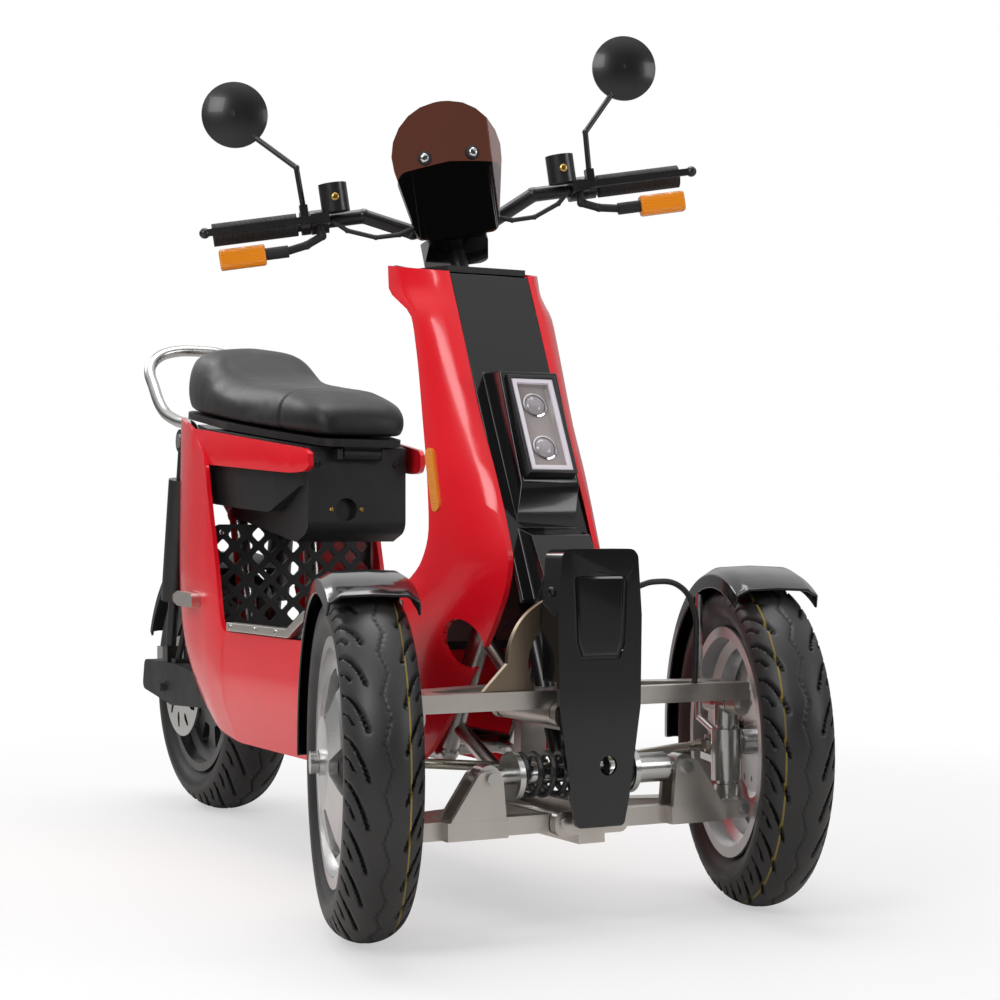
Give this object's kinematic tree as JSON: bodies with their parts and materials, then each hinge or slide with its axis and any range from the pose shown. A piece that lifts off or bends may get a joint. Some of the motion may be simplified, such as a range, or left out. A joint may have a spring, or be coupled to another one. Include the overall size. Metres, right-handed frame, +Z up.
{
  "type": "electric moped",
  "caption": "Electric moped with leaning front wheels on a double-arm linkage, a tall leg shield with handlebar and screen, a flat floor and a hinged saddle over the rear wheel.",
  "frame": {"origin": "on the floor, under the middle of the overall box", "axes": "+X forward, +Y to the rider's left, +Z up"},
  "size_m": [1.7762, 0.8222, 1.2866],
  "materials": {
    "amber_lens": "gloss",
    "bare_alloy": "satin",
    "black_metal": "satin",
    "bright_steel": "satin",
    "bronze_plate": "satin",
    "gloss_black": "gloss",
    "grip_rubber": "matt",
    "lamp_lens": "gloss",
    "matte_black": "matt",
    "red_panel": "gloss",
    "seat_leather": "satin",
    "smoked_screen": "gloss",
    "tyre_rubber": "matt"
  },
  "bodies": {
    "chassis": {"frame": "bright_steel", "fork_brackets": "bright_steel", "front_carrier": "bare_alloy", "upper_arm_right": "bare_alloy", "upper_arm_left": "bare_alloy", "lower_arm_right": "bare_alloy", "lower_arm_left": "bare_alloy", "upright_right": "bright_steel", "upright_left": "bright_steel", "tilt_lock_sector": "bronze_plate", "shock_body": "bright_steel", "shock_spring": "black_metal", "nose_panel": "gloss_black", "front_cable": "matte_black", "side_reflectors": "amber_lens", "column_panel": "gloss_black", "head_lamp": "lamp_lens", "leg_shield_right": "red_panel", "leg_shield_left": "red_panel", "inner_shield": "matte_black", "floor_board": "matte_black", "foot_rails": "bare_alloy", "rear_shell_right": "red_panel", "rear_shell_left": "red_panel", "rear_grille": "matte_black", "battery_box": "matte_black", "grab_rail": "bare_alloy", "tail_unit": "black_metal", "swingarm": "matte_black", "rear_shocks": "black_metal", "rear_guard": "matte_black", "rear_caliper": "bright_steel", "passenger_pegs": "bare_alloy"},
    "seat": {"seat_base": "matte_black", "seat_cushion": "seat_leather"},
    "steering": {"handlebar": "black_metal", "stem_cover": "gloss_black", "windscreen": "smoked_screen", "grips": "grip_rubber", "brake_levers": "black_metal", "mirrors": "black_metal", "indicators": "amber_lens", "indicator_stalks": "matte_black", "bar_leads": "matte_black"},
    "tie_rod_right": {"tie_rod_right": "bright_steel"},
    "tie_rod_left": {"tie_rod_left": "bright_steel"},
    "knuckle_right": {"knuckle_right": "bright_steel", "front_guard_right": "gloss_black"},
    "knuckle_left": {"knuckle_left": "bright_steel", "front_guard_left": "gloss_black"},
    "front_wheel_right": {"front_rim_right": "bare_alloy", "front_tyre_right": "tyre_rubber", "front_disc_right": "bright_steel"},
    "front_wheel_left": {"front_rim_left": "bare_alloy", "front_tyre_left": "tyre_rubber", "front_disc_left": "bright_steel"},
    "rear_wheel": {"rear_rim": "black_metal", "rear_tyre": "tyre_rubber", "rear_disc": "bright_steel"}
  },
  "joints": [
    {"name": "steering_turn", "type": "hinge", "parent": "chassis", "child": "steering", "pos_m": [0.65, -0.0185, 0.22], "axis": [-0.3907, 0, 0.9205], "range_deg": [-12, 56]},
    {"name": "knuckle_right_turn", "type": "hinge", "parent": "chassis", "child": "knuckle_right", "pos_m": [0.68, -0.2705, 0.2175], "axis": [0, 0, 1], "range_deg": [-9.88, 42.44]},
    {"name": "knuckle_left_turn", "type": "hinge", "parent": "chassis", "child": "knuckle_left", "pos_m": [0.68, 0.2335, 0.2175], "axis": [0, 0, 1], "range_deg": [-9.88, 42.44]},
    {"name": "tie_rod_right_swing", "type": "hinge", "parent": "steering", "child": "tie_rod_right", "pos_m": [0.59823, -0.01088, 0.19803], "axis": [-0.3907, 0, 0.9205], "range_deg": [-62, 15]},
    {"name": "tie_rod_left_swing", "type": "hinge", "parent": "steering", "child": "tie_rod_left", "pos_m": [0.60789, 0.01508, 0.20212], "axis": [-0.3907, 0, 0.9205], "range_deg": [-62, 15]},
    {"name": "front_wheel_right_spin", "type": "hinge", "parent": "knuckle_right", "child": "front_wheel_right", "pos_m": [0.63775, -0.30817, 0.232], "axis": [0.2803, 0.9599, 0], "continuous": true},
    {"name": "front_wheel_left_spin", "type": "hinge", "parent": "knuckle_left", "child": "front_wheel_left", "pos_m": [0.66466, 0.28798, 0.232], "axis": [0.2803, 0.9599, 0], "continuous": true},
    {"name": "rear_wheel_spin", "type": "hinge", "parent": "chassis", "child": "rear_wheel", "pos_m": [-0.65, -0.0185, 0.236], "axis": [0, 1, 0], "continuous": true},
    {"name": "seat_lift", "type": "hinge", "parent": "chassis", "child": "seat", "pos_m": [-0.009, -0.0185, 0.657], "axis": [0, 1, 0], "range_deg": [0, 60]}
  ],
  "couplings": [
    {"joint": "knuckle_right_turn", "follows": "steering_turn", "ratio": 0.74},
    {"joint": "knuckle_left_turn", "follows": "steering_turn", "ratio": 0.74},
    {"joint": "tie_rod_right_swing", "follows": "steering_turn", "ratio": -1.06},
    {"joint": "tie_rod_left_swing", "follows": "steering_turn", "ratio": -1.06}
  ]
}
